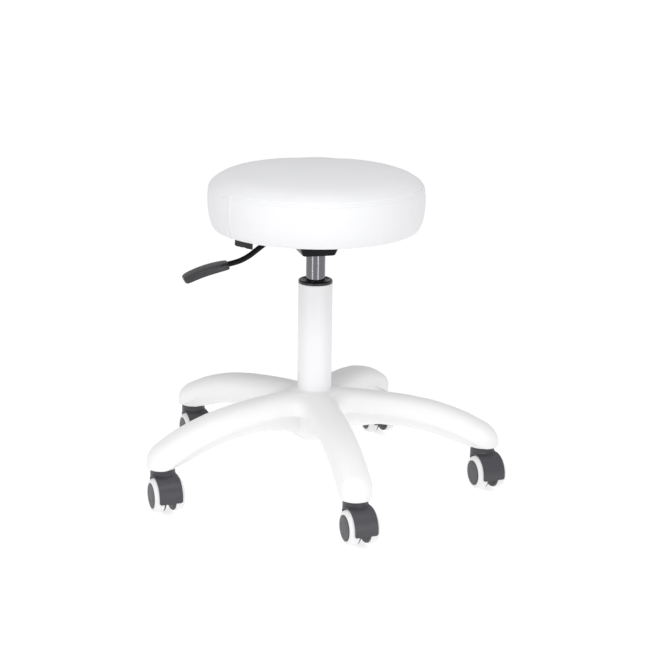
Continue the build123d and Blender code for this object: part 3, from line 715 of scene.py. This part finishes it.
for k, letter in enumerate("abcde"):
    sw = np.array(JOINTS[f"caster_swivel_{letter}"]["pos_m"]) * 1000
    roll = JOINTS[f"wheel_roll_right_{letter}"]
    axle = np.array(roll["axis"], float)
    axle /= np.linalg.norm(axle)
    centre = np.array(roll["pos_m"]) * 1000
    fwd = centre[:2] - sw[:2]
    fwd = fwd / np.linalg.norm(fwd)
    X = np.array([fwd[0], fwd[1], 0.0])
    Y = np.array([-fwd[1], fwd[0], 0.0])
    Z = np.array([0, 0, 1.0])
    B = np.stack([X, Y, Z], 1)

    def place(vv):
        return np.asarray(vv) @ B.T + np.array([sw[0], sw[1], 0.0])

    hood = make_object(f"hood_{letter}", place(hood_v), hood_f, 34.0)
    dress(hood, GREY_PLASTIC, f"caster_{letter}", "grey_plastic", f"caster_hood_{letter}")
    for side, word in ((1, "right"), (-1, "left")):
        spin = 0.35 * k + (0.2 if side > 0 else 0.0)
        cs, sn = math.cos(spin), math.sin(spin)

        def on_axle(vv):
            vv = np.asarray(vv)
            px, py = vv[:, 0] * cs - vv[:, 1] * sn, vv[:, 0] * sn + vv[:, 1] * cs
            return place(np.stack([AX + px, side * vv[:, 2], AZ + side * -py], 1))

        cap = outward(make_object(f"wheel_core_{word}_{letter}", on_axle(core_v), core_f, 30.0))
        dress(cap, GREY_PLASTIC, f"wheel_{word}_{letter}", "grey_plastic", f"wheel_{word}_{letter}")
        tr = outward(make_object(f"wheel_tread_{word}_{letter}", on_axle(tread_v), tread_f, 40.0))
        dress(tr, WHITE_TREAD, f"wheel_{word}_{letter}", "white_tread", f"tread_{word}_{letter}")

# =====================================================================================
# seat mechanism and lever, in the lever's own frame (turned about the column axis)
# =====================================================================================
pv = JOINTS["lift_lever"]["pos_m"]
TURN = math.atan2(-pv[1], -pv[0])                     # local -X points at the lever
CT, ST = math.cos(TURN), math.sin(TURN)


def turned_xy(vv):
    vv = np.asarray(vv, float)
    return np.stack([vv[:, 0] * CT - vv[:, 1] * ST, vv[:, 0] * ST + vv[:, 1] * CT, vv[:, 2]], 1)


lo, hi = mm_box("mechanism_housing")
H0, H1 = lo[2], hi[2]


def rsq(x, y, half, r):
    dx, dy = np.abs(x) - (half - r), np.abs(y) - (half - r)
    return np.hypot(np.maximum(dx, 0), np.maximum(dy, 0)) + np.minimum(np.maximum(dx, dy), 0) - r


def housing(x, y, z):
    t = np.clip((z - H0) / (H1 - 2.5 - H0), 0, 1)
    half = 24.0 + 15.0 * t
    rc = 6.0 + 8.0 * t
    pyr = rsq(x, y, half, rc) * 0.92
    outer = rounded(pyr, H0 - z, 1.4)
    inner = np.maximum(rsq(x, y, half - 2.7, rc - 2.0) * 0.92, (H0 + 2.5) - z)
    shell = np.maximum(outer, -inner)
    shell = np.maximum(shell, z - H1)
    fl = rounded(rsq(x, y, 63.0, 14.0), np.abs(z - (H1 - 1.25)) - 1.25, 0.6)
    fl = np.maximum(fl, -rsq(x, y, 36.6, 12.0))
    body = smin(shell, fl, 3.0)
    body = np.maximum(body, z - H1)
    # pressed ribs running out from the box to the bolt holes
    d = np.minimum(np.abs(x - y), np.abs(x + y)) * 0.7071
    rr = np.hypot(x, y)
    rib = rounded(d - 3.2, (H1 - 4.6) - z, 1.4)
    rib = np.maximum(np.maximum(rib, rr - 60.0), 40.0 - rr)
    rib = np.maximum(rib, z - (H1 - 1.5))
    body = smin(body, rib, 1.5)
    for sx in (-1, 1):
        for sy in (-1, 1):
            body = np.maximum(body, 3.2 - np.hypot(x - sx * 49, y - sy * 49))
            body = np.maximum(body, -np.maximum(np.hypot(x - sx * 49, y - sy * 49) - 6.2, z - (H1 - 2.5)))
    body = np.maximum(body, 17.0 - np.hypot(x, y) - np.where(z > H0 + 5, 100, 0))
    slot = np.maximum(np.maximum(np.abs(x + 50) - 23, np.abs(y) - 6.0), np.abs(z - 376.5) - 9.0)
    return np.maximum(body, -slot)


HS = 1.0
hv, hf = contour(housing, (-66, -66, H0 - 3), (66, 66, H1 + 3), HS)
house_ob = make_object("mechanism_box", turned_xy(hv), hf, 34.0)
dress(house_ob, BLACK_STEEL, "seat", "black_steel", "mechanism_housing")

# lever grip: rounded sections swept along the rod's end
GRIP = [(-129.5, 332.2, 9.6, 23.0), (-131.0, 332.0, 10.6, 25.4), (-138.0, 330.9, 11.4, 28.0), (-149.0, 328.6, 11.9, 30.0), (-160.0, 325.9, 12.1, 30.5),
        (-171.0, 322.5, 12.0, 30.5), (-182.0, 318.2, 11.8, 30.0), (-187.5, 315.7, 11.4, 28.6), (-191.0, 314.0, 10.4, 26.4), (-193.0, 313.1, 8.2, 22.5), (-193.6, 312.8, 5.0, 17.0)]


def grip_mesh():
    path = np.array([(p[0], p[1]) for p in GRIP])
    verts, faces = [], []
    m = 48
    fine = []
    for i in range(len(GRIP) - 1):
        steps = 3 if i not in (0, len(GRIP) - 2) else 2
        for s in range(steps):
            tt = s / steps
            fine.append((i, tt))
    fine.append((len(GRIP) - 2, 1.0))
    g = np.array(GRIP)
    for i, tt in fine:
        p = g[i] * (1 - tt) + g[i + 1] * tt
        a = g[max(0, i - 1)]
        b = g[min(len(g) - 1, i + 2)]
        d = np.array([b[0] - a[0], b[1] - a[1]])
        d /= np.linalg.norm(d)
        nrm = np.array([-d[1], d[0]])
        if nrm[1] < 0:
            nrm = -nrm
        th, w = p[2] / 2, p[3] / 2
        for k in range(m):
            t = 2 * math.pi * k / m
            ct, st = math.cos(t), math.sin(t)
            ex = 2 / 4.6
            yy = w * math.copysign(abs(ct) ** ex, ct)
            hh = th * math.copysign(abs(st) ** ex, st)
            hh *= 1.0 - 0.10 * (abs(yy) / w) ** 2 if st > 0 else 1.0
            verts.append((p[0] + nrm[0] * hh, yy, p[1] + nrm[1] * hh))
    rows = len(fine)
    for i in range(rows - 1):
        for k in range(m):
            k2 = (k + 1) % m
            faces.append((i * m + k, i * m + k2, (i + 1) * m + k2, (i + 1) * m + k))
    for i, rev in ((0, True), (rows - 1, False)):
        ring_ = [i * m + k for k in range(m)]
        c = np.mean([verts[j] for j in ring_], axis=0)
        ci = len(verts)
        verts.append(tuple(c))
        for k in range(m):
            faces.append((ring_[k], ring_[(k + 1) % m], ci))
    return np.array(verts), faces


gv, gf = grip_mesh()
grip_ob = outward(make_object("lever_grip", turned_xy(gv), gf, 38.0))
dress(grip_ob, LEVER_PLASTIC, "lever", "black_plastic", "lever_handle")

# =====================================================================================
# cushion
# =====================================================================================
lo, hi = mm_box("seat_cushion")
SEAT_TOP = hi[2]
rng = np.random.default_rng(7)
# target outline from the crown's middle to the edge under the board: (radius, z)
OUTLINE = [(0.0, SEAT_TOP + 4.6), (40.0, SEAT_TOP + 4.3), (80.0, SEAT_TOP + 3.2), (104.0, SEAT_TOP + 1.6), (120.0, 462.0), (131.0, 459.6), (140.0, 456.2),
           (146.6, 452.2), (151.2, 448.4), (153.8, 444.8), (155.2, 440.0), (156.4, 429.0), (156.1, 415.0), (155.0, 403.0), (153.2, 395.2),
           (150.9, 389.2), (149.1, 385.6), (147.6, 383.5), (145.2, 382.6), (142.0, 382.5), (139.8, 382.7), (139.0, 383.6)]


def resample(points, step_at):
    p = np.array(points, float)
    seg = np.r_[0, np.cumsum(np.hypot(*np.diff(p, axis=0).T))]
    dense = np.linspace(0, seg[-1], 4000)
    x, z = np.interp(dense, seg, p[:, 0]), np.interp(dense, seg, p[:, 1])
    k = np.exp(-np.linspace(-3, 3, 121) ** 2 / 2)
    k /= k.sum()
    xs = np.convolve(np.r_[2 * x[0] - x[1:61][::-1], x, 2 * x[-1] - x[-61:-1][::-1]], k, "valid")
    zs = np.convolve(np.r_[z[1:61][::-1], z, 2 * z[-1] - z[-61:-1][::-1]], k, "valid")
    xs[0] = 0.0
    s, out = 0.0, [(xs[0], zs[0])]
    while True:
        zz = np.interp(s, dense, zs)
        rr = np.interp(s, dense, xs)
        s += step_at(rr, zz)
        if s >= seg[-1]:
            break
        out.append((np.interp(s, dense, xs), np.interp(s, dense, zs)))
    out.append((xs[-1], zs[-1]))
    return np.array(out)


SEAM_Z, TOPSTITCH = 446.4, 4.6
JOINT_AZ = math.radians(220.4)


def cushion_step(r, z):
    if r < 120 and z > 430:
        return 6.0
    near = abs(z - (SEAM_Z - 1.5))
    if z > 436 and near < 9:
        return 0.75 if near < 6 else 1.4
    if z < 396:
        return 1.7
    return 3.2


outline = resample(OUTLINE, cushion_step)
az = [0.0]
while az[-1] < 2 * math.pi:
    d = abs((az[-1] - JOINT_AZ + math.pi) % (2 * math.pi) - math.pi) * 155
    az.append(az[-1] + (0.8 if d < 9 else (1.6 if d < 16 else 3.1)) / 155)
az = np.array(az[:-1]) * (2 * math.pi / az[-1])
rows, cols = len(outline), len(az)

# simulated puff of the same pad: a remeshed copy blown up against its seams
puff = None
coarse = resample([(r * 0.985, z - (1.4 if z > 450 else 0.0)) for r, z in OUTLINE], lambda r, z: 8.0)
prof = [(0.0, coarse[0][1])] + [tuple(p) for p in coarse[1:]] + [(0.0, 384.4)]
cv, cf = lathe(prof, 120)
sim = outward(make_object("sim_pad", cv, cf, 0))
bpy.context.view_layer.objects.active = sim
sim.select_set(True)
rm = sim.modifiers.new("remesh", "REMESH")
rm.mode = "VOXEL"
rm.voxel_size = 0.006
dg = bpy.context.evaluated_depsgraph_get()
base_mesh = bpy.data.meshes.new_from_object(sim.evaluated_get(dg))
sim.modifiers.clear()
sim.data = base_mesh
start = np.array([q.co for q in base_mesh.vertices])
pin = sim.vertex_groups.new(name="pin")
rad = np.hypot(start[:, 0], start[:, 1]) * 1000
zz = start[:, 2] * 1000
ang = np.arctan2(start[:, 1], start[:, 0])
staples = np.sort((np.arange(30) + rng.uniform(-0.33, 0.33, 30)) * 2 * math.pi / 30)
near = np.min(np.abs((ang[:, None] - staples[None, :] + math.pi) % (2 * math.pi) - math.pi), axis=1) * 150
w = np.where(zz < 386.5, 1.0, 0.0)
w = np.maximum(w, np.where(zz < 392.5, np.clip(1.0 - near / 9.0, 0, 1) * 0.9, 0.0))
seam_d = np.hypot(rad - 153.0, zz - SEAM_Z)
w = np.maximum(w, np.where(seam_d < 4.0, 0.35, 0.0))
for i in np.nonzero(w > 0)[0]:
    pin.add([int(i)], float(w[i]), "REPLACE")
cl = sim.modifiers.new("cloth", "CLOTH")
st = cl.settings
st.quality = 6
st.mass = 0.35
st.tension_stiffness = 18
st.compression_stiffness = 12
st.shear_stiffness = 8
st.bending_stiffness = 1.2
st.use_pressure = True
st.uniform_pressure_force = 4.0
st.vertex_group_mass = "pin"
st.pin_stiffness = 1.0
st.effector_weights.gravity = 0.0
cl.collision_settings.use_collision = False
cl.point_cache.frame_start = 1
cl.point_cache.frame_end = 20
for fr in range(1, 21):
    bpy.context.scene.frame_set(fr)
dg = bpy.context.evaluated_depsgraph_get()
done = np.array([q.co for q in sim.evaluated_get(dg).data.vertices])
delta = done - start
ln = np.linalg.norm(delta, axis=1)
cap = 0.007
delta *= (cap * np.tanh(ln / cap) / np.maximum(ln, 1e-9))[:, None]
final = start + delta
sim.modifiers.clear()
bpy.context.scene.frame_set(1)
tris = [tuple(p.vertices) for p in sim.data.polygons]
puff = BVHTree.FromPolygons([tuple(p) for p in final], tris)
bpy.data.objects.remove(sim)

# the pad's own surface: target outline, then what the simulation says differs around each ring
tan = np.gradient(outline, axis=0)
nrm2 = np.stack([-tan[:, 1], tan[:, 0]], 1)
nrm2 /= np.linalg.norm(nrm2, axis=1)[:, None]
nrm2 *= -1 if nrm2[rows // 2, 0] < 0 else 1
nrm2[0] = (0, 1)
A, I = np.meshgrid(az, np.arange(rows))
Rr, Zr = outline[I, 0], outline[I, 1]
Nr, Nz = nrm2[I, 0], nrm2[I, 1]
off = np.zeros_like(Rr)
if puff is not None:
    for i in range(1, rows):
        if outline[i, 1] < 384.5 and outline[i, 0] < 144:
            continue
        step_j = 3
        js = list(range(0, cols, step_j))
        vals = []
        for j in js:
            t = az[j]
            o = Vector(((outline[i, 0] + nrm2[i, 0] * 25) * math.cos(t) * MM, (outline[i, 0] + nrm2[i, 0] * 25) * math.sin(t) * MM, (outline[i, 1] + nrm2[i, 1] * 25) * MM))
            dd = Vector((-nrm2[i, 0] * math.cos(t), -nrm2[i, 0] * math.sin(t), -nrm2[i, 1]))
            hit = puff.ray_cast(o, dd, 0.06)
            vals.append(25 - hit[3] * 1000 if hit[0] is not None else np.nan)
        vals = np.array(vals)
        good = ~np.isnan(vals)
        if good.sum() < 10:
            continue
        full = np.interp(az, az[js][good], vals[good], period=2 * math.pi)
        off[i] = full - full.mean()
    # smooth the sampled differences a little along the outline and round it
    for _ in range(2):
        off[1:-1] = 0.5 * off[1:-1] + 0.25 * (off[:-2] + off[2:])
        off = 0.5 * off + 0.25 * (np.roll(off, 1, 1) + np.roll(off, -1, 1))
    off = np.clip(off, -1.6, 1.6) * 0.35

arc_len = np.r_[0, np.cumsum(np.hypot(*np.diff(outline, axis=0).T))]
s_seam = np.interp(-SEAM_Z, -outline[outline[:, 0] > 140][:, 1], arc_len[outline[:, 0] > 140])
S = arc_len[I] - s_seam                                     # distance below the seam, along the cloth
JD = ((A - JOINT_AZ + math.pi) % (2 * math.pi) - math.pi) * 155.5   # distance past the band's joint
on_band = np.clip((S + 0.5) / 1.5, 0, 1)


def bell(x, w):
    return np.exp(-(x / w) ** 2)


wob = sum(0.25 * np.sin(k * A + p) / k for k, p in ((3, 0.4), (7, 1.9), (11, 4.0)))
Sw = S + wob
# side seam: a sharp valley, a soft lip either side, and a topstitched line on the band
off -= 0.62 * bell(Sw, 0.85)
off += 0.16 * bell(Sw - 2.6, 1.5) + 0.20 * bell(Sw + 2.4, 1.8)
off -= 0.16 * bell(Sw - TOPSTITCH - 0.4, 0.75)
# fine puckers running down from the seam
puck = np.sin(A * 155 / 4.1 * 1.0 + 2.0 * np.sin(A * 9)) * np.sin(A * 23 + 1.1)
off += 0.045 * puck * np.exp(-np.maximum(Sw - 1.0, 0) / 5.0) * (Sw > 0.5)
off += 0.035 * np.sin(A * 155 / 5.3 + 1.7 * np.sin(A * 7)) * np.exp(np.minimum(Sw + 1.0, 0) / 5.0) * (Sw < -0.5)
# the band's own joint: a lapped, topstitched seam
lap = np.where(JD < 0, 0.5 * np.exp(-np.maximum(-JD - 7.0, 0) / 3.5), 0.0)
lap *= 1 / (1 + np.exp(np.clip((JD + 0.35) * 7, -40, 40)))
off += lap * on_band
off -= 0.55 * bell(JD - 0.6, 0.8) * on_band
off -= 0.40 * bell(JD + 5.2, 0.8) * on_band
# gathers where the cloth is pulled under the board
gath = np.zeros_like(off)
gr = np.random.default_rng(11)
for k in range(64):
    t0 = gr.uniform(0, 2 * math.pi)
    width = gr.uniform(2.2, 5.5) / 155
    depth = gr.uniform(0.25, 0.85)
    reach = gr.uniform(7.0, 17.0)
    lean = gr.uniform(-0.10, 0.10)
    up = np.maximum(Zr - 384.0, 0)
    d = (A - t0 - lean * up / 30 + math.pi) % (2 * math.pi) - math.pi
    gath -= depth * np.exp(-(d / width) ** 2) * np.exp(-(up / reach) ** 2)
    gath += 0.45 * depth * np.exp(-((d - 1.7 * width) / width) ** 2) * np.exp(-(up / reach) ** 2)
gath *= np.clip((Zr - 383.0) / 2.5, 0, 1) * (Rr > 140)
off += np.clip(gath, -1.4, 0.9)
# the top panel: faint pulls from sitting, and soft folds near its left rim
ripple = 0.22 * np.sin(3 * A + 0.7) * np.clip(Rr / 130, 0, 1) ** 2 + 0.12 * np.sin(5 * A + 2.2) * np.clip(Rr / 130, 0, 1) ** 3
off += np.where(S < 0, ripple * np.clip(-S / 14, 0, 1), 0.0)
for a0_, r0_, la, lr, dep in ((math.radians(196), 139, 0.16, 5.0, -0.75), (math.radians(203), 129, 0.13, 6.0, 0.45), (math.radians(187), 126, 0.10, 6.0, -0.35),
                              (math.radians(330), 140, 0.14, 5.0, -0.4)):
    d = (A - a0_ + math.pi) % (2 * math.pi) - math.pi
    off += dep * np.exp(-(d / la) ** 2) * np.exp(-((Rr - r0_) / lr) ** 2) * (Zr > 430)
off[0] = 0
Rf = np.maximum(Rr + off * Nr, 0)
Zf = np.maximum(Zr + off * Nz, 382.55)
verts = [(0.0, 0.0, outline[0, 1])]
for i in range(1, rows):
    for j in range(cols):
        verts.append((Rf[i, j] * math.cos(A[i, j]), Rf[i, j] * math.sin(A[i, j]), Zf[i, j]))
faces = []
for j in range(cols):
    faces.append((0, 1 + j, 1 + (j + 1) % cols))
for i in range(rows - 2):
    b0, b1 = 1 + i * cols, 1 + (i + 1) * cols
    for j in range(cols):
        j2 = (j + 1) % cols
        faces.append((b0 + j, b1 + j, b1 + j2, b0 + j2))
# the hidden side: cloth turned up inside, over the board
last = 1 + (rows - 2) * cols
inner_rows = [(139.0, 385.2), (147.6, 385.2), (147.6, 395.8), (120.0, 396.2), (60.0, 396.2)]
prev = last
for r_, z_ in inner_rows:
    b1 = len(verts)
    for j in range(cols):
        verts.append((r_ * math.cos(az[j]), r_ * math.sin(az[j]), z_))
    for j in range(cols):
        j2 = (j + 1) % cols
        faces.append((prev + j, b1 + j, b1 + j2, prev + j2))
    prev = b1
ci = len(verts)
verts.append((0, 0, 396.2))
for j in range(cols):
    faces.append((prev + j, ci, prev + (j + 1) % cols))
pad = outward(make_object("seat_pad", verts, faces, 60.0))
dress(pad, LEATHERETTE, "seat", "white_leatherette", "seat_cushion")


# stitches, laid in the topstitch grooves
def stitch(p0, p1, n, r=0.21, sides=6):
    """One thread stitch from p0 to p1, bowed out along n."""
    p0, p1, n = np.array(p0), np.array(p1), np.array(n)
    d = p1 - p0
    side = np.cross(d, n)
    side /= np.linalg.norm(side)
    vs, fs = [], []
    rings_ = [(0.0, -0.24, 0.45), (0.18, 0.02, 1.0), (0.5, 0.10, 1.05), (0.82, 0.02, 1.0), (1.0, -0.24, 0.45)]
    for t, bow, k in rings_:
        c = p0 + d * t + n * bow
        for q in range(sides):
            a = 2 * math.pi * q / sides
            vs.append(c + side * (r * k * math.cos(a)) + n * (r * k * 0.8 * math.sin(a)))
    for i in range(len(rings_) - 1):
        for q in range(sides):
            q2 = (q + 1) % sides
            fs.append((i * sides + q, i * sides + q2, (i + 1) * sides + q2, (i + 1) * sides + q))
    fs.append(tuple(range(sides)))
    fs.append(tuple((len(rings_) - 1) * sides + q for q in range(sides))[::-1])
    return vs, fs


def surface_point(t, s):
    """A point of the finished pad at azimuth t and s millimetres below the seam."""
    j = int(np.searchsorted(az, t % (2 * math.pi))) % cols
    i = int(np.argmin(np.abs(arc_len - s_seam - s)))
    i = max(1, min(rows - 2, i))
    ss = arc_len - s_seam
    r = np.interp(s, ss, Rf[:, j])
    z = np.interp(s, ss, Zf[:, j])
    n = np.array([nrm2[i, 0] * math.cos(t), nrm2[i, 0] * math.sin(t), nrm2[i, 1]])
    return np.array([r * math.cos(t), r * math.sin(t), z]), n


parts = []
circ = 2 * math.pi * 155.5
count = int(circ / 4.4)
wob_at = lambda t: sum(0.25 * math.sin(k * t + p) / k for k, p in ((3, 0.4), (7, 1.9), (11, 4.0)))
for k in range(count):
    t0_ = 2 * math.pi * (k + 0.14) / count
    t1_ = 2 * math.pi * (k + 0.86) / count
    s_ = TOPSTITCH + 0.4
    pa, na = surface_point(t0_, s_ - wob_at(t0_))
    pb, nb = surface_point(t1_, s_ - wob_at(t1_))
    parts.append(stitch(pa + na * 0.05, pb + nb * 0.05, (na + nb) / 2))
for k in range(int(62 / 4.4)):
    s0_, s1_ = 5.5 + 4.4 * k, 5.5 + 4.4 * k + 3.2
    t_ = JOINT_AZ - 5.2 / 155.5
    if s1_ > 58:
        break
    pa, na = surface_point(t_, s0_)
    pb, nb = surface_point(t_, s1_)
    parts.append(stitch(pa + na * 0.05, pb + nb * 0.05, (na + nb) / 2))
sv, sf = merge_parts(parts)
stitches = outward(make_object("seam_stitches", sv, sf, 60.0))
dress(stitches, THREAD, "seat", "white_leatherette")

# plain sewn tag hanging from the pad's lower edge
lo, hi = mm_box("seat_tag")
tag_z0, tag_z1 = lo[2], hi[2]
tag_pts_ = np.array([NODES["seat_tag"].matrix_world @ q.co for q in NODES["seat_tag"].data.vertices]) * 1000
tag_a = np.unwrap(np.arctan2(tag_pts_[:, 1], tag_pts_[:, 0]) % (2 * math.pi))
tag_az, tag_half = (tag_a.min() + tag_a.max()) / 2, (tag_a.max() - tag_a.min()) / 2
tag_r = float(np.hypot(tag_pts_[:, 0], tag_pts_[:, 1]).mean())
TW, TH, TT = tag_half * tag_r, tag_z1 - tag_z0, 0.42
tvs, tfs = [], []
nu, nw = 64, 18
for side in (1, -1):
    for iw in range(nw + 1):
        for iu in range(nu + 1):
            u_ = iu / nu * 2 - 1
            w_ = iw / nw
            yy = TW * u_
            # the lower edge waves a little, and its corners are cut round
            low_ = 0.35 * math.sin(5.1 * u_ + 0.8) + 0.2 * math.sin(11.0 * u_)
            z_ = tag_z0 + 0.5 + low_ * (1 - w_) + (TH - 0.5) * w_
            cr = 1.2
            if w_ * TH < cr and abs(yy) > TW - cr:
                dx, dz = abs(yy) - (TW - cr), cr - w_ * TH
                ln_ = math.hypot(dx, dz)
                mx = max(dx, dz)
                if ln_ > 0:
                    dx, dz = dx * mx / ln_, dz * mx / ln_
                yy = math.copysign(TW - cr + dx, yy)
                z_ = tag_z0 + 0.5 + low_ * (1 - w_) + cr - dz
            curl = (0.8 * (1 - w_) ** 2 + 0.5 * math.sin(4.3 * u_ + 0.4) * (1 - w_)) * 0.6
            hem = 0.10 * math.exp(-((abs(u_) * TW - (TW - 1.1)) / 0.35) ** 2) + 0.10 * math.exp(-((w_ * TH - 1.1) / 0.35) ** 2)
            edge_fall = min(1.0, max(0.0, min(TW - abs(yy), w_ * TH)) / 0.5)
            th_ = TT * (0.35 + 0.65 * edge_fall) - hem
            rr_ = tag_r + side * th_ + curl
            t_ = tag_az + yy / tag_r
            tvs.append((rr_ * math.cos(t_), rr_ * math.sin(t_), z_))
W1 = nu + 1
base2 = (nu + 1) * (nw + 1)
for iw in range(nw):
    for iu in range(nu):
        a = iw * W1 + iu
        tfs.append((a, a + 1, a + 1 + W1, a + W1))
        tfs.append((base2 + a, base2 + a + W1, base2 + a + 1 + W1, base2 + a + 1))
for iu in range(nu):
    tfs.append((iu, base2 + iu, base2 + iu + 1, iu + 1))
    a = nw * W1 + iu
    tfs.append((a, a + 1, base2 + a + 1, base2 + a))
for iw in range(nw):
    a = iw * W1
    tfs.append((a, a + W1, base2 + a + W1, base2 + a))
    a = iw * W1 + nu
    tfs.append((a, base2 + a, base2 + a + W1, a + W1))
tag_ob = outward(make_object("sewn_tag", tvs, tfs, 50.0))
dress(tag_ob, TAG, "seat", "black_cloth", "seat_tag")

# =====================================================================================
# stage, light and camera
# =====================================================================================
floor_me = bpy.data.meshes.new("floor")
bm = bmesh.new()
bmesh.ops.create_grid(bm, x_segments=8, y_segments=8, size=20.0)
bm.to_mesh(floor_me)
bm.free()
floor = bpy.data.objects.new("floor", floor_me)
bpy.context.scene.collection.objects.link(floor)
floor.location.z = -0.0004
fm = Nodes("floor_white")
fm.bsdf.inputs["Specular IOR Level"].default_value = 0.0
tone = fm.mix(fm.range(fm.noise(3.0, 3.0, 0.5), 0.3, 0.7, 0.0, 1.0), rgb(0.40, 0.40, 0.40), rgb(0.39, 0.39, 0.39))
fm.set(Emission_Color=rgb(1, 1, 1), Emission_Strength=0.78)
fm.finish(tone, fm.range(fm.noise(20.0), 0.3, 0.7, 0.85, 0.95))
floor_me.materials.append(fm.mat)

world = bpy.data.worlds.new("studio")
bpy.context.scene.world = world
world.use_nodes = True
wt = world.node_tree
wt.nodes.clear()
wo = wt.nodes.new("ShaderNodeOutputWorld")
wb = wt.nodes.new("ShaderNodeBackground")
wc = wt.nodes.new("ShaderNodeTexCoord")
wx = wt.nodes.new("ShaderNodeSeparateXYZ")
wr = wt.nodes.new("ShaderNodeValToRGB")
wt.links.new(wc.outputs["Generated"], wx.inputs[0])
wt.links.new(wx.outputs["Z"], wr.inputs["Fac"])
wt.links.new(wr.outputs["Color"], wb.inputs["Color"])
wt.links.new(wb.outputs[0], wo.inputs[0])
wr.color_ramp.elements[0].position = 0.0
wr.color_ramp.elements[0].color = (0.605, 0.605, 0.609, 1)
wr.color_ramp.elements[1].position = 0.8
wr.color_ramp.elements[1].color = (0.605, 0.605, 0.617, 1)
wb.inputs["Strength"].default_value = 1.0


def softbox(name, azimuth, elevation, distance, w, h, power, target=(0, 0, 0.28)):
    """azimuth is measured from the direction towards the camera, positive to the right."""
    t = math.radians(azimuth)
    e = math.radians(elevation)
    tgt = Vector(target)
    pos = tgt + Vector((math.sin(t) * math.cos(e), -math.cos(t) * math.cos(e), math.sin(e))) * distance
    data = bpy.data.lights.new(name, "AREA")
    data.shape = "RECTANGLE"
    data.size, data.size_y = w, h
    data.energy = power
    ob = bpy.data.objects.new(name, data)
    ob.location = pos
    ob.rotation_euler = (pos - tgt).to_track_quat("Z", "Y").to_euler()
    bpy.context.scene.collection.objects.link(ob)
    ob.visible_camera = False
    return ob


softbox("strip_left", -37, -2, 1.15, 0.16, 0.75, 1.9)
softbox("strip_right", 30, -2, 1.15, 0.16, 0.75, 1.9)
softbox("key_left", -22, 55, 1.3, 0.8, 0.6, 3.3)
softbox("key_right", 20, 55, 1.3, 0.8, 0.6, 3.3)

cam_data = bpy.data.cameras.new("view")
cam_data.lens = 102.02
cam_data.sensor_width = 36.0
cam_data.clip_end = 100.0
cam = bpy.data.objects.new("view", cam_data)
yaw, pitch, roll = 0.00426, 0.27063, 0.01306
fwv = np.array([math.sin(yaw) * math.cos(pitch), math.cos(yaw) * math.cos(pitch), -math.sin(pitch)])
rv = np.array([math.cos(yaw), -math.sin(yaw), 0.0])
uv = np.cross(rv, fwv)
r2 = rv * math.cos(roll) + uv * math.sin(roll)
u2 = -rv * math.sin(roll) + uv * math.cos(roll)
m4 = Matrix.Identity(4)
for i in range(3):
    m4[i][0], m4[i][1], m4[i][2] = r2[i], u2[i], -fwv[i]
m4[0][3], m4[1][3], m4[2][3] = 0.0, -2.572, 0.953
cam.matrix_world = m4
bpy.context.scene.collection.objects.link(cam)
bpy.context.scene.camera = cam
bpy.context.scene.view_settings.view_transform = "Standard"
bpy.context.scene.view_settings.look = "None"
